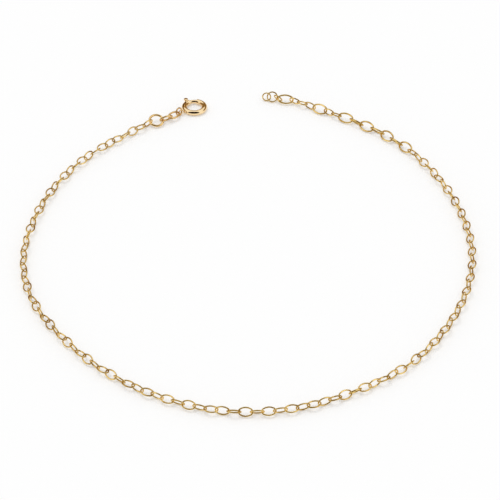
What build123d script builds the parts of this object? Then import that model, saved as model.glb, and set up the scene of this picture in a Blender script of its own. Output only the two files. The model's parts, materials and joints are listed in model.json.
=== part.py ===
"""Fine cable-chain anklet with a spring ring clasp and an extender chain, laid open on a table.

Millimetres and degrees. +Z is up and z = 0 is the table. The open ends lie at the back, +Y, with
the clasp to the left and the extender to the right, and the middle of the chain lies in front.
The origin is the middle of the bounding box, on the table.

The chain is laid link by link: each link turns a little from the one before, in the table's plane,
and rolls about its own long axis. Neighbouring links pass through each other with a small gap.
"""
from build123d import *
import os
from collections import namedtuple
from math import atan2, cos, degrees, radians, sin, sqrt

os.makedirs("parts", exist_ok=True)

# ---- Wire links: outer length, outer width and wire diameter ----
Link = namedtuple("Link", "length width wire")
BODY_LINK = Link(length=2.56, width=1.72, wire=0.26)
SMALL_LINK = Link(length=2.35, width=1.64, wire=0.26)
LARGE_LINK = Link(length=3.27, width=2.08, wire=0.32)
CONNECTOR_RING = Link(length=3.06, width=3.06, wire=0.44)
LEAD_LINK = Link(length=2.80, width=1.84, wire=0.36)
CLASP_RING = Link(length=1.80, width=1.80, wire=0.30)
JUMP_RING = Link(length=1.96, width=1.96, wire=0.25)
TAG_RING = Link(length=2.21, width=2.21, wire=0.25)
END_RING = Link(length=1.81, width=1.81, wire=0.25)

end_roundness = 0.78           # radius of an oval link's ends, over half the width of its middle line
wire_gap = 0.13                # between two wires where one link pulls on the next
chain_height = 0.88            # the chain's middle line above the table

# ---- Where the chain starts, at the clasp end, and its heading there ----
start_x, start_y = -18.737, 37.683
start_heading = -136.4

# ---- The body chain, a row for each stretch: links, turn over the stretch, roll from link to link ----
Stretch = namedtuple("Stretch", "links turn roll")
first_roll = -39
LEFT_CHAIN = [
    Stretch(6, -0.2, 114),
    Stretch(6, 17.2, 60),
    Stretch(6, 13.4, 60),
    Stretch(6, 10.9, 63),
    Stretch(6, 17.7, 93),
    Stretch(6, 18.2, 63),
    Stretch(6, 9.4, 60),
    Stretch(6, 14.2, 63),
    Stretch(6, 16.1, 96),
]
RIGHT_CHAIN = [
    Stretch(6, 22.0, 75),
    Stretch(6, 21.1, 84),
    Stretch(6, 11.6, 72),
    Stretch(6, 19.8, 108),
    Stretch(6, 11.6, 87),
    Stretch(6, 14.1, 90),
    Stretch(6, 14.8, 87),
    Stretch(6, 11.9, 90),
    Stretch(7, 13.2, 107),
]

# ---- Single links, a row for each: kind, turn from the one before, roll, slack to the one before ----
Single = namedtuple("Single", "kind turn roll slack")
CLASP_LEAD = [
    Single(CONNECTOR_RING, -24, 20, 0),
    Single(LEAD_LINK, 6, 118, 0),
    Single(LEAD_LINK, 22, 9, 0.10),
    Single(CLASP_RING, 5, 75, 0),
]
EXTENDER = [
    Single(BODY_LINK, 1, 19, 0.02),
    Single(LARGE_LINK, 8, 141, 0.05),
    Single(LARGE_LINK, 4, 51, 0.01),
    Single(LARGE_LINK, -4, 142, 0),
    Single(LARGE_LINK, 13, 53, 0.01),
    Single(LARGE_LINK, 0, 135, 0.01),
    Single(LARGE_LINK, -1, 51, 0.07),
    Single(LARGE_LINK, 8, 138, 0.02),
    Single(SMALL_LINK, -5, 20, 0.03),
    Single(SMALL_LINK, 5, 84, 0.01),
    Single(LARGE_LINK, -1, 137, 0.06),
    Single(BODY_LINK, -1, 83, 0.03),
    Single(SMALL_LINK, 2, 16, 0.01),
    Single(SMALL_LINK, 5, 76, 0.04),
    Single(LARGE_LINK, 14, 149, 0.21),
    Single(JUMP_RING, -26, 61, 0.38),
    Single(TAG_RING, 37, 138, 0.18),
    Single(END_RING, -2, 105, 0.26),
]

# ---- Spring ring clasp: a hollow C of tube, closed by a sprung tongue ----
clasp_diameter = 5.0
tube_diameter = 1.04
bore_diameter = 0.80
mouth_start, mouth_end = 77, 120       # the open part of the C, as angles round the ring
eyelet_angle = 214                     # where the eyelet is soldered on
eyelet_diameter, eyelet_wire = 1.18, 0.20
eyelet_height = 0.56                   # of its wire above the table, so the jump ring passes below
eyelet_sink = 0.13                     # how far the eyelet's wire runs into the tube

# ---- Clasp trigger: the tongue, its thumb knob and the slot that the knob slides in ----
tongue_diameter = 0.70
tongue_tip, tongue_tail = 73, 202      # the tongue's two ends, as angles round the ring
trigger_travel = 45                    # the knob's travel along its slot
knob_angle = 147
stem_diameter, neck_diameter, knob_diameter = 0.30, 0.48, 0.82
neck_clearance = 0.06                  # of the neck's underside above the tube
knob_rise, knob_thickness = 0.40, 0.30  # of the head's underside above the tube, and of the head
slot_width = 0.40
slot_margin = 5                        # of slot left at each end of the knob's travel


def reach(kind):
    """Distance between the two points where a link meets its neighbours."""
    return kind.length - 2 * kind.wire - wire_gap


def step(point, heading, distance):
    """The point at a distance from another, along a heading in the table's plane."""
    return (point[0] + distance * cos(radians(heading)), point[1] + distance * sin(radians(heading)))


def link_plane(point, heading, roll):
    """The plane of a link: x along the link, y across it and z through its hole."""
    side = (-sin(radians(heading)), cos(radians(heading)))
    normal = (-sin(radians(roll)) * side[0], -sin(radians(roll)) * side[1], cos(radians(roll)))
    along = (cos(radians(heading)), sin(radians(heading)), 0)
    return Plane(origin=(point[0], point[1], chain_height), x_dir=along, z_dir=normal)


def lay_stretches(stretches, joint, heading, roll):
    """Planes of body links laid one after another, and where, which way and how rolled they end."""
    planes = []
    for stretch in stretches:
        for _ in range(stretch.links):
            heading += stretch.turn / stretch.links
            roll += stretch.roll
            planes.append(link_plane(step(joint, heading, reach(BODY_LINK) / 2), heading, roll))
            joint = step(joint, heading, reach(BODY_LINK))
    return planes, joint, heading, roll


def lay_singles(rows, joint, heading):
    """Planes of single links laid one after another, and where and which way they end."""
    planes = []
    for row in rows:
        heading += row.turn
        joint = step(joint, heading, -row.slack)
        planes.append(link_plane(step(joint, heading, reach(row.kind) / 2), heading, row.roll))
        joint = step(joint, heading, reach(row.kind))
    return planes, joint, heading


def wire_link(kind):
    """One closed link of round wire, long axis on X, lying in the XY plane: a ring or an oval.

    An oval's middle line is two tight arcs round its ends and two wide ones along its sides.
    """
    half_length = (kind.length - kind.wire) / 2
    half_width = (kind.width - kind.wire) / 2
    with BuildPart() as link:
        if kind.length == kind.width:
            Torus(half_length, kind.wire / 2)
        else:
            end_radius = end_roundness * half_width
            end_offset = half_length - end_radius
            side_radius = (half_width**2 + end_offset**2 - end_radius**2) / (2 * (half_width - end_radius))
            side_offset = side_radius - half_width
            side_turn = degrees(atan2(end_offset, side_offset))
            with BuildLine() as middle_line:
                CenterArc((0, -side_offset), side_radius, 90 - side_turn, 2 * side_turn)
                CenterArc((-end_offset, 0), end_radius, 90 + side_turn, 180 - 2 * side_turn)
                CenterArc((0, side_offset), side_radius, 270 - side_turn, 2 * side_turn)
                CenterArc((end_offset, 0), end_radius, side_turn - 90, 180 - 2 * side_turn)
            with BuildSketch(Plane(origin=(0, half_width, 0), z_dir=(1, 0, 0))):
                Circle(kind.wire / 2)
            sweep(path=middle_line.wire())
    return link.part


def make_links(kind, planes, label):
    """Links of one kind at each of the planes, written as one sub-part."""
    with BuildPart() as links:
        with Locations(*planes):
            add(wire_link(kind))
    links.part.label = label
    export_step(links.part, f"parts/{label}.step")
    return links.part


def clasp_centre_at(jump_plane):
    """The clasp ring's middle, placed so that the jump ring's wire runs through the eyelet."""
    ring_radius = (CLASP_RING.length - CLASP_RING.wire) / 2
    drop = (chain_height - eyelet_height) / jump_plane.y_dir.Z
    crossing = jump_plane.from_local_coords((sqrt(ring_radius**2 - drop**2), -drop, 0))
    eyelet_offset = clasp_diameter / 2 + eyelet_diameter / 2 - eyelet_sink
    return step((crossing.X, crossing.Y), eyelet_angle - 180, eyelet_offset)


def ring_section(centre, angle):
    """The plane square to the clasp's tube at an angle round the ring."""
    along = (-sin(radians(angle)), cos(radians(angle)), 0)
    point = step(centre, angle, (clasp_diameter - tube_diameter) / 2)
    return Plane(origin=(point[0], point[1], tube_diameter / 2), z_dir=along)


def make_clasp_body(centre):
    """The hollow C of tube, with its slot for the knob and its soldered eyelet."""
    axis = Axis((centre[0], centre[1], 0), (0, 0, 1))
    tube_run = 360 - (mouth_end - mouth_start)
    slot_run = trigger_travel + 2 * slot_margin
    eyelet_centre = step(centre, eyelet_angle, clasp_diameter / 2 + eyelet_diameter / 2 - eyelet_sink)
    eyelet_ring = (eyelet_diameter - eyelet_wire) / 2
    tube_top = Plane.XY.offset(tube_diameter / 2)
    with BuildPart() as body:
        with BuildSketch(ring_section(centre, mouth_end)):
            Circle(tube_diameter / 2)
        revolve(axis=axis, revolution_arc=tube_run)
        with Locations((eyelet_centre[0], eyelet_centre[1], eyelet_height)):
            Torus(eyelet_ring, eyelet_wire / 2)
        with BuildSketch(ring_section(centre, mouth_end)):
            Circle(bore_diameter / 2)
        revolve(axis=axis, revolution_arc=tube_run, mode=Mode.SUBTRACT)
        with BuildSketch(tube_top):
            with Locations((centre[0], centre[1])):
                slot_radius = (clasp_diameter - tube_diameter) / 2
                SlotArc(CenterArc((0, 0), slot_radius, knob_angle - slot_margin, slot_run), slot_width)
        extrude(amount=tube_diameter, mode=Mode.SUBTRACT)
    body.part.label = "clasp_body"
    export_step(body.part, "parts/clasp_body.step")
    return body.part


def make_clasp_trigger(centre):
    """The tongue that closes the clasp's mouth, with the knob that draws it back."""
    axis = Axis((centre[0], centre[1], 0), (0, 0, 1))
    knob_place = step(centre, knob_angle, (clasp_diameter - tube_diameter) / 2)
    head_base = tube_diameter + knob_rise
    with BuildPart() as trigger:
        with BuildSketch(ring_section(centre, tongue_tip)):
            Circle(tongue_diameter / 2)
        revolve(axis=axis, revolution_arc=tongue_tail - tongue_tip)
        with BuildSketch(Plane.XY.offset(tube_diameter / 2)):
            with Locations(knob_place):
                Circle(stem_diameter / 2)
        extrude(amount=head_base - tube_diameter / 2)
        with BuildSketch(Plane.XY.offset(tube_diameter + neck_clearance)):
            with Locations(knob_place):
                Circle(neck_diameter / 2)
        extrude(amount=knob_rise - neck_clearance)
        with BuildSketch(Plane.XY.offset(head_base)):
            with Locations(knob_place):
                Circle(knob_diameter / 2)
        extrude(amount=knob_thickness)
        head_rims = trigger.edges().filter_by(GeomType.CIRCLE).group_by(Axis.Z)[-1]
        fillet(head_rims, radius=knob_thickness / 4)
    trigger.part.label = "clasp_trigger"
    export_step(trigger.part, "parts/clasp_trigger.step")
    return trigger.part


def make_anklet():
    """Every sub-part, from the clasp round to the free end of the extender."""
    start = (start_x, start_y)
    left_planes, left_end, heading, roll = lay_stretches(LEFT_CHAIN, start, start_heading, first_roll)
    right_planes, right_end, heading, roll = lay_stretches(RIGHT_CHAIN, left_end, heading, roll)
    extender_planes, _, _ = lay_singles(EXTENDER, right_end, heading)
    back_heading = start_heading + LEFT_CHAIN[0].turn / LEFT_CHAIN[0].links + 180
    lead_planes, _, _ = lay_singles(CLASP_LEAD, start, back_heading)

    pieces = [make_links(BODY_LINK, left_planes, "chain_left")]
    pieces.append(make_links(BODY_LINK, right_planes, "chain_right"))
    for number, (row, plane) in enumerate(zip(EXTENDER, extender_planes), start=1):
        pieces.append(make_links(row.kind, [plane], f"extender_link_{number:02d}"))
    lead_names = ["connector_ring", "clasp_link_1", "clasp_link_2", "jump_ring"]
    for row, plane, name in zip(CLASP_LEAD, lead_planes, lead_names):
        pieces.append(make_links(row.kind, [plane], name))
    clasp_centre = clasp_centre_at(lead_planes[-1])
    pieces.append(make_clasp_body(clasp_centre))
    pieces.append(make_clasp_trigger(clasp_centre))
    return pieces


anklet = Compound(children=make_anklet())
box = anklet.bounding_box()
print("box", box.min, box.max, "centre", box.center())
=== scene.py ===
"""Polished gold chain anklet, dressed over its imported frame.

The anklet is a fine cable chain with a spring ring clasp at one end and an extender at the other.
The links of each node are copies of one link, modelled at their gauge and laid where the frame's own
links lie. The clasp ring and its trigger are modelled round the clasp's hinge. All lengths are in
metres.
"""

import json
import logging
import math
from contextlib import contextmanager
from dataclasses import dataclass
from enum import Enum
from typing import Callable, Iterator

import bmesh
import bpy
import numpy as np
from mathutils import Matrix, Vector

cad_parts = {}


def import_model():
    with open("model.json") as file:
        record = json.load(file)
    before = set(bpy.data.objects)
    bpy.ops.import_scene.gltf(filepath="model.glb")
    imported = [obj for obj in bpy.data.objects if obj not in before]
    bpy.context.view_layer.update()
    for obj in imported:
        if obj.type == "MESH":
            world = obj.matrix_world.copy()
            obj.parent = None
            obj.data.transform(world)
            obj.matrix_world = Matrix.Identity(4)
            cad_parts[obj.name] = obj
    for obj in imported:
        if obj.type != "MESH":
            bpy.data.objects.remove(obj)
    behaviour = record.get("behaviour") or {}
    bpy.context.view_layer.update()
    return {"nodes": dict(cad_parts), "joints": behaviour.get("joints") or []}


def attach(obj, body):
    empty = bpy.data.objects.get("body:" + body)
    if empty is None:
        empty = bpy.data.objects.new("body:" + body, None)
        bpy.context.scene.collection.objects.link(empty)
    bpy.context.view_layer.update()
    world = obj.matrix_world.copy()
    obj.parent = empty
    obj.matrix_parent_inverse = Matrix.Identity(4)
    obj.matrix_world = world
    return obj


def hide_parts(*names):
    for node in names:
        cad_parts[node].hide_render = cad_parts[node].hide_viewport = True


log = logging.getLogger("chain_anklet")

MM = 0.001
MICRON = 0.000001

RIM_SEGMENTS = 4
RIM_ANGLE = 60.0
ROUND_WITHIN = 40 * MICRON
GAUGE_DIGITS = 2

CLASP_NODES = ("clasp_body", "clasp_trigger")
LEAD_NODES = ("connector_ring", "clasp_link_1", "clasp_link_2", "jump_ring")


class Body(Enum):
    """The two bodies of the frame that pieces ride on."""

    ANKLET = "anklet"
    TRIGGER = "trigger"


class Slot(Enum):
    """The record's material slots."""

    CHAIN = "chain_gold"
    CLASP = "clasp_gold"


class Fineness(Enum):
    """About how many steps go round a whole link, and how many sides its wire's section has."""

    BODY_LINK = (28, 10)
    SINGLE_LINK = (48, 16)


# ---------------------------------------------------------------- working with operators


def deselect_all() -> None:
    """Leaves nothing selected and no object active."""
    for chosen in list(bpy.context.selected_objects):
        chosen.select_set(False)
    bpy.context.view_layer.objects.active = None


def pick(*objects: bpy.types.Object) -> bpy.types.Object:
    """Selects the given objects alone and makes the first one active.

    Args:
        objects: what the next operator acts on.

    Returns:
        The first of them.
    """
    deselect_all()
    for chosen in objects:
        chosen.select_set(True)
    bpy.context.view_layer.objects.active = objects[0]
    return objects[0]


@contextmanager
def editing(piece: bpy.types.Object) -> Iterator[None]:
    """Edit mode on one object, with nothing selected in it at first.

    Args:
        piece: the mesh object to edit.

    Yields:
        Nothing, while the object is in edit mode.
    """
    pick(piece)
    bpy.ops.object.mode_set(mode="EDIT")
    bpy.ops.mesh.select_all(action="DESELECT")
    yield
    bpy.ops.object.mode_set(mode="OBJECT")


def select_vertices(piece: bpy.types.Object, wanted: Callable[[Vector], bool]) -> None:
    """Selects the vertices whose place passes a test, in edit mode.

    Args:
        piece: the object in edit mode.
        wanted: the test on a vertex's place.
    """
    mesh = bmesh.from_edit_mesh(piece.data)
    for vertex in mesh.verts:
        vertex.select = wanted(vertex.co)
    mesh.select_flush_mode()
    bmesh.update_edit_mesh(piece.data)


def join(pieces: list[bpy.types.Object], name: str) -> bpy.types.Object:
    """Joins several mesh objects into the first.

    Args:
        pieces: the objects to join.
        name: the joined object's name.

    Returns:
        The joined object.
    """
    joined = pick(*pieces)
    if len(pieces) > 1:
        bpy.ops.object.join()
    joined.name = name
    joined.data.name = name
    return joined


def settle(piece: bpy.types.Object) -> None:
    """Moves an object's place into its mesh, so that the object sits at the origin."""
    pick(piece)
    bpy.ops.object.transform_apply(location=True, rotation=True, scale=True)


def just_added() -> bpy.types.Object:
    """Takes the primitive that was added last and settles it at the origin.

    Returns:
        The primitive's object.
    """
    piece = bpy.context.active_object
    settle(piece)
    return piece


def apply_modifier(piece: bpy.types.Object, kind: str, **values: object) -> None:
    """Adds one modifier to a piece and applies it.

    Args:
        piece: the object that gets it.
        kind: the modifier's type.
        values: the modifier's settings.
    """
    pick(piece)
    modifier = piece.modifiers.new(kind.title(), kind)
    for key, value in values.items():
        setattr(modifier, key, value)
    bpy.ops.object.modifier_apply(modifier=modifier.name)


def combine(piece: bpy.types.Object, tool: bpy.types.Object, operation: str) -> None:
    """Joins a solid to a piece or cuts it out, then deletes the solid.

    Args:
        piece: the object that is kept.
        tool: the solid that is added or cut.
        operation: UNION or DIFFERENCE.
    """
    apply_modifier(piece, "BOOLEAN", object=tool, operation=operation, solver="EXACT")
    bpy.data.objects.remove(tool, do_unlink=True)


def round_rims(piece: bpy.types.Object, width: float) -> None:
    """Rounds a solid's sharp edges over.

    Args:
        piece: the solid.
        width: how far the rounding reaches from each edge.
    """
    apply_modifier(
        piece,
        "BEVEL",
        width=width,
        segments=RIM_SEGMENTS,
        limit_method="ANGLE",
        angle_limit=math.radians(RIM_ANGLE),
    )


# ---------------------------------------------------------------- finishes


@dataclass(frozen=True)
class GoldFinish:
    """Polished yellow gold with faint hand-polishing marks.

    The colour drifts slightly from place to place, the shine varies with fine marks, and a very
    low bump breaks the reflections up.
    """

    name: str
    pale: tuple[float, float, float]
    deep: tuple[float, float, float]
    smooth: float = 0.03
    worn: float = 0.08
    drift_scale: float = 700.0
    drift_detail: float = 3.0
    drift_range: tuple[float, float] = (0.35, 0.65)
    mark_scale: float = 7000.0
    mark_detail: float = 4.0
    mark_range: tuple[float, float] = (0.3, 0.7)
    mark_depth: float = 1 * MICRON
    mark_strength: float = 0.2

    def material(self) -> bpy.types.Material:
        """Builds the node material.

        Returns:
            The material, made once and kept under its own name.
        """
        found = bpy.data.materials.get(self.name)
        if found:
            return found
        material = bpy.data.materials.new(self.name)
        material.use_nodes = True
        tree = material.node_tree
        shader = tree.nodes["Principled BSDF"]
        shader.inputs["Metallic"].default_value = 1.0
        drift = self._noise(tree, self.drift_scale, self.drift_detail)
        marks = self._noise(tree, self.mark_scale, self.mark_detail)
        tree.links.new(self._colour(tree, drift), shader.inputs["Base Color"])
        tree.links.new(self._shine(tree, marks), shader.inputs["Roughness"])
        tree.links.new(self._bump(tree, marks), shader.inputs["Normal"])
        return material

    def _noise(
        self, tree: bpy.types.NodeTree, scale: float, detail: float
    ) -> bpy.types.NodeSocket:
        """Lays a noise over the piece's own place.

        Args:
            tree: the material's nodes.
            scale: how fine the noise is.
            detail: how many finer noises it holds.

        Returns:
            The noise, around one half.
        """
        place = tree.nodes.new("ShaderNodeTexCoord")
        noise = tree.nodes.new("ShaderNodeTexNoise")
        noise.inputs["Scale"].default_value = scale
        noise.inputs["Detail"].default_value = detail
        tree.links.new(place.outputs["Object"], noise.inputs["Vector"])
        return noise.outputs["Fac"]

    def _colour(
        self, tree: bpy.types.NodeTree, drift: bpy.types.NodeSocket
    ) -> bpy.types.NodeSocket:
        """Drifts between the deep and the pale gold.

        Args:
            tree: the material's nodes.
            drift: the noise that the colour follows.

        Returns:
            The colour.
        """
        colour = tree.nodes.new("ShaderNodeValToRGB")
        stops = colour.color_ramp.elements
        for stop, position, tone in zip(stops, self.drift_range, (self.deep, self.pale)):
            stop.position = position
            stop.color = (*tone, 1)
        tree.links.new(drift, colour.inputs["Fac"])
        return colour.outputs["Color"]

    def _shine(
        self, tree: bpy.types.NodeTree, marks: bpy.types.NodeSocket
    ) -> bpy.types.NodeSocket:
        """Varies the roughness with the polishing marks.

        Args:
            tree: the material's nodes.
            marks: the marks' noise.

        Returns:
            The roughness.
        """
        shine = tree.nodes.new("ShaderNodeMapRange")
        shine.inputs["From Min"].default_value = self.mark_range[0]
        shine.inputs["From Max"].default_value = self.mark_range[1]
        shine.inputs["To Min"].default_value = self.smooth
        shine.inputs["To Max"].default_value = self.worn
        tree.links.new(marks, shine.inputs["Value"])
        return shine.outputs["Result"]

    def _bump(
        self, tree: bpy.types.NodeTree, marks: bpy.types.NodeSocket
    ) -> bpy.types.NodeSocket:
        """Raises and sinks the surface slightly with the polishing marks.

        Args:
            tree: the material's nodes.
            marks: the marks' noise.

        Returns:
            The surface's direction.
        """
        bump = tree.nodes.new("ShaderNodeBump")
        bump.inputs["Strength"].default_value = self.mark_strength
        bump.inputs["Distance"].default_value = self.mark_depth
        tree.links.new(marks, bump.inputs["Height"])
        return bump.outputs["Normal"]


CHAIN_GOLD = GoldFinish("polished_chain_gold", pale=(0.95, 0.70, 0.27), deep=(0.52, 0.32, 0.07))
LEAD_GOLD = GoldFinish("polished_lead_gold", pale=(0.97, 0.71, 0.34), deep=(0.70, 0.45, 0.17))
CLASP_GOLD = GoldFinish("polished_clasp_gold", pale=(0.97, 0.76, 0.46), deep=(0.93, 0.69, 0.38))


@dataclass(frozen=True)
class WhiteSweep:
    """White table surface that keeps the object's shadow and shows white round it."""

    name: str = "white_sweep"
    paint: tuple[float, float, float] = (0.86, 0.86, 0.86)
    lift: float = 0.23

    def material(self) -> bpy.types.Material:
        """Builds matt white paint, lifted to white where it is seen directly or in the metal.

        Returns:
            The material.
        """
        material = bpy.data.materials.new(self.name)
        material.use_nodes = True
        nodes, links = material.node_tree.nodes, material.node_tree.links
        shader = nodes["Principled BSDF"]
        shader.inputs["Base Color"].default_value = (*self.paint, 1)
        shader.inputs["Roughness"].default_value = 1.0
        shader.inputs["Specular IOR Level"].default_value = 0.0
        shader.inputs["Emission Color"].default_value = (1, 1, 1, 1)
        seen = seen_directly(nodes, links)
        lift = nodes.new("ShaderNodeMath")
        lift.operation = "MULTIPLY"
        lift.inputs[1].default_value = self.lift
        links.new(seen, lift.inputs[0])
        links.new(lift.outputs[0], shader.inputs["Emission Strength"])
        return material


def seen_directly(nodes: bpy.types.Nodes, links: bpy.types.NodeLinks) -> bpy.types.NodeSocket:
    """A socket that is 1 for camera, glossy and transmission rays and 0 for the rest.

    Args:
        nodes: the node tree's nodes.
        links: the node tree's links.

    Returns:
        The socket.
    """
    path = nodes.new("ShaderNodeLightPath")
    first = nodes.new("ShaderNodeMath")
    first.operation = "MAXIMUM"
    links.new(path.outputs["Is Camera Ray"], first.inputs[0])
    links.new(path.outputs["Is Glossy Ray"], first.inputs[1])
    second = nodes.new("ShaderNodeMath")
    second.operation = "MAXIMUM"
    links.new(first.outputs[0], second.inputs[0])
    links.new(path.outputs["Is Transmission Ray"], second.inputs[1])
    return second.outputs[0]


def paint_over(piece: bpy.types.Object, material: bpy.types.Material) -> None:
    """Gives a piece one material alone."""
    piece.data.materials.clear()
    piece.data.materials.append(material)


# ---------------------------------------------------------------- wire links


@dataclass(frozen=True)
class LinkGauge:
    """Outer length, outer width and wire thickness of one kind of link."""

    length: float
    width: float
    wire: float
    end_roundness: float = 0.78

    @property
    def is_round(self) -> bool:
        """Whether the link is a round ring."""
        return self.length - self.width < ROUND_WITHIN

    @property
    def half_length(self) -> float:
        """Half the length of the wire's middle line."""
        return (self.length - self.wire) / 2

    @property
    def half_width(self) -> float:
        """Half the width of the wire's middle line."""
        return (self.width - self.wire) / 2

    @property
    def end_radius(self) -> float:
        """Radius of an oval's two tight arcs."""
        return self.end_roundness * self.half_width

    @property
    def end_offset(self) -> float:
        """Distance of the tight arcs' centres from the link's middle, along it."""
        return self.half_length - self.end_radius

    @property
    def side_offset(self) -> float:
        """Distance of the wide arcs' centres from the link's middle, across it."""
        spread = self.half_width**2 + self.end_offset**2 - self.end_radius**2
        return spread / (2 * (self.half_width - self.end_radius)) - self.half_width

    @property
    def half_side(self) -> float:
        """The angle, in degrees, that half of a wide arc turns through."""
        return math.degrees(math.atan2(self.end_offset, self.side_offset))


@dataclass(frozen=True)
class FrameLink:
    """Where one link of the frame lies, and its gauge."""

    centre: Vector
    along: Vector
    across: Vector
    gauge: LinkGauge

    @classmethod
    def read(cls, solid: bpy.types.Object) -> "FrameLink":
        """Measures a link from the spread of its surface.

        Args:
            solid: one link of the frame, by itself.

        Returns:
            Its middle, long axis, cross axis and gauge.
        """
        mesh = solid.data
        mesh.calc_loop_triangles()
        places = np.array([vertex.co for vertex in mesh.vertices])
        corners = places[np.array([triangle.vertices for triangle in mesh.loop_triangles])]
        sides = corners[:, 1:] - corners[:, :1]
        weights = np.linalg.norm(np.cross(sides[:, 0], sides[:, 1]), axis=1)
        middles = corners.mean(axis=1)
        centre = (middles * weights[:, None]).sum(axis=0) / weights.sum()
        spread = (middles - centre).T @ ((middles - centre) * weights[:, None])
        _, axes = np.linalg.eigh(spread)
        spans = np.ptp((places - centre) @ axes, axis=0)
        wire, width, length = (round(float(span) / MM, GAUGE_DIGITS) * MM for span in spans)
        gauge = LinkGauge(length=length, width=width, wire=wire)
        return cls(Vector(centre), Vector(axes[:, 2]), Vector(axes[:, 1]), gauge)

    def matrix(self) -> Matrix:
        """Works out the move from a link lying flat at the origin to this place.

        Returns:
            The move.
        """
        through = self.along.cross(self.across)
        columns = Matrix((self.along, self.across, through)).transposed()
        return Matrix.Translation(self.centre) @ columns.to_4x4()


def loose_links(node: bpy.types.Object) -> list[bpy.types.Object]:
    """Splits a copy of a frame node into its separate links.

    Args:
        node: the frame's node, which is left as it is.

    Returns:
        One object for each link.
    """
    copy = node.copy()
    copy.data = node.data.copy()
    copy.parent = None
    bpy.context.scene.collection.objects.link(copy)
    with editing(copy):
        bpy.ops.mesh.select_all(action="SELECT")
        bpy.ops.mesh.remove_doubles(threshold=MICRON)
        bpy.ops.mesh.separate(type="LOOSE")
    return list(bpy.context.selected_objects)


@dataclass
class WireLink:
    """One link of bent round wire, modelled lying flat at the origin."""

    gauge: LinkGauge
    fineness: Fineness
    cut_width: float = 24 * MICRON
    cut_depth: float = 0.90

    @property
    def steps(self) -> int:
        """About how many steps the wire takes round a whole link."""
        return self.fineness.value[0]

    @property
    def sides(self) -> int:
        """Sides of the wire's section."""
        return self.fineness.value[1]

    def model(self) -> bpy.types.Object:
        """Bends the wire into a ring or an oval.

        Returns:
            The link, smooth, lying flat at the origin with its long axis on X.
        """
        link = self._ring() if self.gauge.is_round else self._oval()
        pick(link)
        bpy.ops.object.shade_smooth()
        return link

    @property
    def section_radius(self) -> float:
        """Radius of a section of this many sides whose area is the round wire's."""
        turn = 2 * math.pi / self.sides
        return self.gauge.wire / 2 * math.sqrt(turn / math.sin(turn))

    def _oval(self) -> bpy.types.Object:
        """Sweeps the wire's section round a side, an end, the other side and the other end.

        Returns:
            The oval link.
        """
        gauge = self.gauge
        deselect_all()
        bpy.ops.mesh.primitive_circle_add(
            vertices=self.sides,
            radius=self.section_radius,
            location=(0, gauge.half_width, 0),
            rotation=(0, math.radians(90), 0),
        )
        link = just_added()
        with editing(link):
            bpy.ops.mesh.select_all(action="SELECT")
            for way in (-1, 1):
                self._sweep(0, way * gauge.side_offset, gauge.half_side)
                self._sweep(way * gauge.end_offset, 0, 180 - 2 * gauge.half_side)
                self._sweep(0, -way * gauge.side_offset, gauge.half_side)
            bpy.ops.mesh.select_all(action="SELECT")
            bpy.ops.mesh.remove_doubles(threshold=MICRON)
            bpy.ops.mesh.normals_make_consistent(inside=False)
        return link

    def _sweep(self, x: float, y: float, run: float) -> None:
        """Spins the selected section anticlockwise round a centre.

        Args:
            x: the centre's place along the link.
            y: the centre's place across the link.
            run: how far it spins, in degrees.
        """
        bpy.ops.mesh.spin(
            steps=max(2, round(self.steps * run / 360)),
            angle=-math.radians(run),
            center=(x, y, 0),
            axis=(0, 0, 1),
        )

    def _ring(self) -> bpy.types.Object:
        """Bends a round ring and leaves the fine groove where its wire ends meet.

        Returns:
            The ring.
        """
        deselect_all()
        bpy.ops.mesh.primitive_torus_add(
            major_segments=self.steps,
            minor_segments=self.sides,
            major_radius=self.gauge.half_width,
            minor_radius=self.section_radius,
        )
        link = bpy.context.active_object
        with editing(link):
            for side in (-0.5, 0.5):
                bpy.ops.mesh.select_all(action="SELECT")
                bpy.ops.mesh.bisect(plane_co=(side * self.cut_width, 0, 0), plane_no=(1, 0, 0))
            select_vertices(link, self._is_in_cut)
            bpy.ops.transform.resize(
                value=(1, self.cut_depth, self.cut_depth),
                center_override=(0, self.gauge.half_width, 0),
            )
        return link

    def _is_in_cut(self, place: Vector) -> bool:
        """Whether a place is in the middle of the groove between the wire's ends."""
        return abs(place.x) < self.cut_width / 4 and place.y > 0


@dataclass
class LinkRun:
    """All the links of one frame node, modelled as one piece."""

    node: str

    @property
    def fineness(self) -> Fineness:
        """How finely the node's links are modelled."""
        return Fineness.BODY_LINK if self.node.startswith("chain_") else Fineness.SINGLE_LINK

    @property
    def finish(self) -> GoldFinish:
        """The gold of the node's links."""
        return LEAD_GOLD if self.node in LEAD_NODES else CHAIN_GOLD

    def build(self, frame_node: bpy.types.Object) -> bpy.types.Object:
        """Models the links where the frame's lie.

        Args:
            frame_node: the frame's node that they stand for.

        Returns:
            The finished piece.
        """
        solids = loose_links(frame_node)
        laid = [FrameLink.read(solid) for solid in solids]
        for solid in solids:
            bpy.data.objects.remove(solid, do_unlink=True)
        pattern = WireLink(laid[0].gauge, self.fineness).model()
        links = []
        for link in laid:
            copy = pattern.copy()
            copy.data = pattern.data.copy()
            copy.data.transform(link.matrix())
            bpy.context.scene.collection.objects.link(copy)
            links.append(copy)
        bpy.data.objects.remove(pattern, do_unlink=True)
        piece = join(links, f"{self.node}_wire")
        paint_over(piece, self.finish.material())
        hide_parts(self.node)
        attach(piece, Body.ANKLET.value)
        log.info("%s: %d links, %.2f mm wire", piece.name, len(laid), laid[0].gauge.wire / MM)
        return piece


# ---------------------------------------------------------------- spring ring clasp


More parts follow.
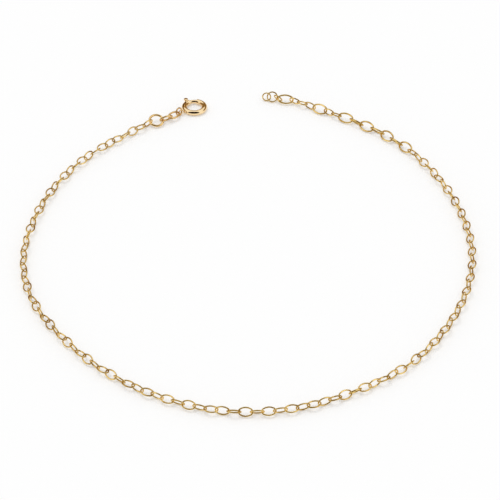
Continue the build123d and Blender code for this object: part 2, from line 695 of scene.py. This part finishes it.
@dataclass
class SpringRing:
    """Spring ring clasp: a hollow C of tube with an eyelet, and the sprung trigger that closes it.

    Angles are in degrees round the clasp's hinge, from +X towards +Y.
    """

    hinge: Vector
    ring_diameter: float = 5.0 * MM
    tube_diameter: float = 1.04 * MM
    bore_diameter: float = 0.80 * MM
    mouth_start: float = 77.0
    mouth_end: float = 120.0
    rim_bevel: float = 0.03 * MM
    bore_margin: float = 3.0
    eyelet_angle: float = 214.0
    eyelet_diameter: float = 1.18 * MM
    eyelet_wire: float = 0.20 * MM
    eyelet_height: float = 0.56 * MM
    eyelet_sink: float = 0.13 * MM
    eyelet_steps: int = 48
    eyelet_sides: int = 16
    tongue_diameter: float = 0.70 * MM
    tongue_tip: float = 73.0
    tongue_tail: float = 202.0
    tongue_bevel: float = 0.16 * MM
    knob_angle: float = 147.0
    trigger_travel: float = 45.0
    slot_width: float = 0.40 * MM
    slot_margin: float = 5.0
    stem_diameter: float = 0.30 * MM
    neck_diameter: float = 0.48 * MM
    neck_clearance: float = 0.06 * MM
    knob_diameter: float = 0.82 * MM
    knob_rise: float = 0.40 * MM
    knob_thickness: float = 0.30 * MM
    knob_bevel: float = 0.075 * MM
    tube_sides: int = 32
    step_angle: float = 4.0
    crease_angle: float = 35.0

    @property
    def middle_radius(self) -> float:
        """Radius of the tube's middle line."""
        return (self.ring_diameter - self.tube_diameter) / 2

    def on_ring(self, angle: float, radius: float, height: float) -> Vector:
        """A point by its angle round the hinge, its distance from it and its height.

        Args:
            angle: in degrees.
            radius: distance from the hinge.
            height: above the table.

        Returns:
            The point.
        """
        turn = math.radians(angle)
        x = self.hinge.x + radius * math.cos(turn)
        y = self.hinge.y + radius * math.sin(turn)
        return Vector((x, y, height))

    def _section(self, diameter: float, angle: float) -> bpy.types.Object:
        """A filled round section of the tube or the tongue, square to its run.

        Args:
            diameter: the section's.
            angle: its place round the hinge.

        Returns:
            The section.
        """
        deselect_all()
        bpy.ops.mesh.primitive_circle_add(
            vertices=self.tube_sides,
            radius=diameter / 2,
            fill_type="NGON",
            location=self.on_ring(angle, self.middle_radius, self.tube_diameter / 2),
            rotation=(math.radians(90), 0, math.radians(angle)),
        )
        return just_added()

    def _spin(self, piece: bpy.types.Object, run: float) -> None:
        """Sweeps all of a section round the hinge into a closed solid.

        Args:
            piece: the section, which becomes the solid.
            run: how far it sweeps, in degrees from +X towards +Y.
        """
        with editing(piece):
            bpy.ops.mesh.select_all(action="SELECT")
            bpy.ops.mesh.spin(
                steps=max(2, round(abs(run) / self.step_angle)),
                angle=-math.radians(run),
                center=(self.hinge.x, self.hinge.y, self.tube_diameter / 2),
                axis=(0, 0, 1),
            )
            bpy.ops.mesh.select_all(action="SELECT")
            bpy.ops.mesh.normals_make_consistent(inside=False)

    def _bar(self, diameter: float, start: float, end: float) -> bpy.types.Object:
        """A solid round bar bent round the hinge, its ends square.

        Args:
            diameter: the bar's.
            start: the angle that it starts at.
            end: the angle that it ends at.

        Returns:
            The bar.
        """
        bar = self._section(diameter, start)
        self._spin(bar, end - start)
        return bar

    def _tube(self) -> bpy.types.Object:
        """The hollow C: a bent bar, bored from end to end and rounded at its rims.

        Returns:
            The tube.
        """
        start, end = self.mouth_end, self.mouth_start + 360
        margin = self.bore_margin
        tube = self._bar(self.tube_diameter, start, end)
        bore = self._bar(self.bore_diameter, start - margin, end + margin)
        combine(tube, bore, "DIFFERENCE")
        round_rims(tube, self.rim_bevel)
        return tube

    def _slot_cutter(self) -> list[bpy.types.Object]:
        """The solids that cut the knob's slot through the top of the tube.

        Returns:
            The slot's run and its two round ends.
        """
        start = self.knob_angle - self.slot_margin
        run = self.trigger_travel + 2 * self.slot_margin
        base = self.tube_diameter / 2
        deselect_all()
        bpy.ops.mesh.primitive_plane_add(
            size=1,
            location=self.on_ring(start, self.middle_radius, base + self.tube_diameter / 2),
            rotation=(math.radians(90), 0, math.radians(start)),
        )
        channel = bpy.context.active_object
        channel.scale = (self.slot_width, self.tube_diameter, 1)
        settle(channel)
        self._spin(channel, run)
        top = base + self.tube_diameter
        ends = [self._post(angle, self.slot_width, base, top) for angle in (start, start + run)]
        return [channel, *ends]

    def _post(self, angle: float, diameter: float, low: float, high: float) -> bpy.types.Object:
        """An upright round post on the tube's middle line.

        Args:
            angle: its place round the hinge.
            diameter: the post's.
            low: the height of its foot.
            high: the height of its top.

        Returns:
            The post.
        """
        deselect_all()
        bpy.ops.mesh.primitive_cylinder_add(
            vertices=self.tube_sides,
            radius=diameter / 2,
            depth=high - low,
            location=self.on_ring(angle, self.middle_radius, (low + high) / 2),
        )
        return just_added()

    def build_ring(self) -> bpy.types.Object:
        """Models the C of tube with its slot and eyelet.

        Returns:
            The finished piece.
        """
        ring = self._tube()
        for cutter in self._slot_cutter():
            combine(ring, cutter, "DIFFERENCE")
        reach = self.ring_diameter / 2 + self.eyelet_diameter / 2 - self.eyelet_sink
        deselect_all()
        bpy.ops.mesh.primitive_torus_add(
            major_segments=self.eyelet_steps,
            minor_segments=self.eyelet_sides,
            major_radius=(self.eyelet_diameter - self.eyelet_wire) / 2,
            minor_radius=self.eyelet_wire / 2,
            location=self.on_ring(self.eyelet_angle, reach, self.eyelet_height),
        )
        combine(ring, just_added(), "UNION")
        return self._dress(ring, "clasp_ring_body", "clasp_body", Body.ANKLET)

    def build_trigger(self) -> bpy.types.Object:
        """Models the tongue, its stem and neck, and its thumb knob.

        Returns:
            The finished piece.
        """
        tongue = self._bar(self.tongue_diameter, self.tongue_tip, self.tongue_tail)
        round_rims(tongue, self.tongue_bevel)
        stem_base = self.tube_diameter / 2
        neck_base = self.tube_diameter + self.neck_clearance
        head_base = self.tube_diameter + self.knob_rise
        head_top = head_base + self.knob_thickness
        head_middle = (head_base + head_top) / 2
        head = self._post(self.knob_angle, self.knob_diameter, head_base, head_top)
        round_rims(head, self.knob_bevel)
        neck = self._post(self.knob_angle, self.neck_diameter, neck_base, head_middle)
        stem = self._post(self.knob_angle, self.stem_diameter, stem_base, head_base)
        combine(neck, stem, "UNION")
        combine(head, neck, "UNION")
        combine(tongue, head, "UNION")
        return self._dress(tongue, "clasp_tongue_and_knob", "clasp_trigger", Body.TRIGGER)

    def _dress(
        self, piece: bpy.types.Object, name: str, node: str, body: Body
    ) -> bpy.types.Object:
        """Shades and paints a clasp piece and hangs it on its body.

        Args:
            piece: the modelled piece.
            name: its name.
            node: the frame's node that it stands for.
            body: the body that it rides on.

        Returns:
            The finished piece.
        """
        pick(piece)
        bpy.ops.object.shade_smooth_by_angle(angle=math.radians(self.crease_angle))
        piece.name = name
        piece.data.name = name
        paint_over(piece, CLASP_GOLD.material())
        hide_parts(node)
        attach(piece, body.value)
        log.info("%s: %d faces", name, len(piece.data.polygons))
        return piece


# ---------------------------------------------------------------- studio


@dataclass(frozen=True)
class Flag:
    """One flag for the metal to mirror, a stretch of a dome. Angles are in degrees."""

    name: str
    azimuth: float
    width: float
    low: float
    high: float
    shade: tuple[float, float, float]
    radius: float = 2.0
    cuts: int = 23

    def build(self) -> bpy.types.Object:
        """Models the flag as a stretch of a dome and gives it its cloth.

        Returns:
            The flag.
        """
        deselect_all()
        bpy.ops.mesh.primitive_plane_add(size=1)
        flag = bpy.context.active_object
        flag.name = self.name
        with editing(flag):
            bpy.ops.mesh.select_all(action="SELECT")
            bpy.ops.mesh.subdivide(number_cuts=self.cuts)
        for vertex in flag.data.vertices:
            around = math.radians(self.azimuth + vertex.co.x * self.width)
            above = math.radians(self.low + (vertex.co.y + 0.5) * (self.high - self.low))
            level = math.cos(above)
            vertex.co = self.radius * Vector(
                (level * math.cos(around), level * math.sin(around), math.sin(above))
            )
        paint_over(flag, self._cloth())
        return flag

    def _cloth(self) -> bpy.types.Material:
        """Makes cloth of one even shade, whatever light falls on it.

        Returns:
            The material.
        """
        material = bpy.data.materials.new(self.name)
        material.use_nodes = True
        shader = material.node_tree.nodes["Principled BSDF"]
        shader.inputs["Base Color"].default_value = (0, 0, 0, 1)
        shader.inputs["Specular IOR Level"].default_value = 0.0
        shader.inputs["Emission Color"].default_value = (*self.shade, 1)
        shader.inputs["Emission Strength"].default_value = 1.0
        return material


FLAGS = (
    Flag("dark_front_flag", azimuth=-95, width=100, low=0, high=84, shade=(0.012, 0.005, 0.001)),
    Flag("warm_rear_flag", azimuth=90, width=180, low=0, high=37, shade=(0.26, 0.16, 0.058)),
)


@dataclass
class Studio:
    """White sweep, soft overhead light, flags for the metal to mirror, and the camera."""

    view_centre: tuple[float, float, float] = (0.313 * MM, -2.999 * MM, 0.88 * MM)
    elevation: float = 37.6
    distance: float = 402.3 * MM
    focal_length: float = 162.0
    sensor_width: float = 36.0
    nearest: float = 10 * MM
    floor_size: float = 6.0
    floor_drop: float = 0.02 * MM
    sky_strength: float = 0.67
    softbox_strength: float = 0.7
    softbox_angle: float = 38.0
    softbox_from: tuple[float, float, float] = (-0.20, 0.14, 0.97)

    def build(self) -> None:
        """Sets the floor, the lights, the flags and the camera."""
        self._floor()
        self._world()
        self._lamp()
        self._flags()
        self._camera()
        bpy.context.scene.view_settings.view_transform = "Standard"

    def _floor(self) -> None:
        """Lays the white sweep just under the anklet."""
        deselect_all()
        bpy.ops.mesh.primitive_plane_add(size=self.floor_size, location=(0, 0, -self.floor_drop))
        floor = bpy.context.active_object
        sweep = WhiteSweep()
        floor.name = sweep.name
        paint_over(floor, sweep.material())

    def _world(self) -> None:
        """Sets an even sky, full white where it is seen or mirrored and dimmer as light."""
        world = bpy.data.worlds.new("soft_white_sky")
        bpy.context.scene.world = world
        world.use_nodes = True
        nodes, links = world.node_tree.nodes, world.node_tree.links
        background = nodes["Background"]
        background.inputs["Color"].default_value = (1, 1, 1, 1)
        strength = nodes.new("ShaderNodeMapRange")
        strength.inputs["To Min"].default_value = self.sky_strength
        strength.inputs["To Max"].default_value = 1.0
        links.new(seen_directly(nodes, links), strength.inputs["Value"])
        links.new(strength.outputs["Result"], background.inputs["Strength"])

    def _lamp(self) -> None:
        """Hangs one broad soft light high over the table, which the metal doesn't mirror."""
        data = bpy.data.lights.new("overhead_softbox", "SUN")
        data.energy = self.softbox_strength
        data.angle = math.radians(self.softbox_angle)
        lamp = bpy.data.objects.new("overhead_softbox", data)
        lamp.location = self.softbox_from
        lamp.visible_glossy = False
        aim = -Vector(self.softbox_from)
        lamp.rotation_euler = aim.to_track_quat("-Z", "Y").to_euler()
        bpy.context.scene.collection.objects.link(lamp)

    def _flags(self) -> None:
        """Stands the flags round the set, seen in the metal alone."""
        for flag in FLAGS:
            cloth = flag.build()
            cloth.visible_camera = False
            cloth.visible_diffuse = False
            cloth.visible_shadow = False

    def _camera(self) -> None:
        """Sets the camera to look along +Y and down at the table."""
        data = bpy.data.cameras.new("camera")
        data.lens = self.focal_length
        data.sensor_width = self.sensor_width
        data.clip_start = self.nearest
        camera = bpy.data.objects.new("camera", data)
        tilt = math.radians(self.elevation)
        away = Vector((0, -math.cos(tilt), math.sin(tilt)))
        camera.location = Vector(self.view_centre) + self.distance * away
        camera.rotation_euler = (math.radians(90) - tilt, 0, 0)
        bpy.context.scene.collection.objects.link(camera)
        bpy.context.scene.camera = camera


# ---------------------------------------------------------------- the anklet


def main() -> None:
    """Dresses the anklet, piece by piece, and sets the studio."""
    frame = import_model()
    deselect_all()
    for node in sorted(frame["nodes"]):
        if node not in CLASP_NODES:
            LinkRun(node).build(frame["nodes"][node])
    (trigger_slide,) = frame["joints"]
    clasp = SpringRing(hinge=Vector(trigger_slide["pos_m"]))
    clasp.build_ring()
    clasp.build_trigger()
    Studio().build()


if __name__ == "__main__":
    logging.basicConfig(level=logging.INFO, format="%(name)s: %(message)s")
    main()
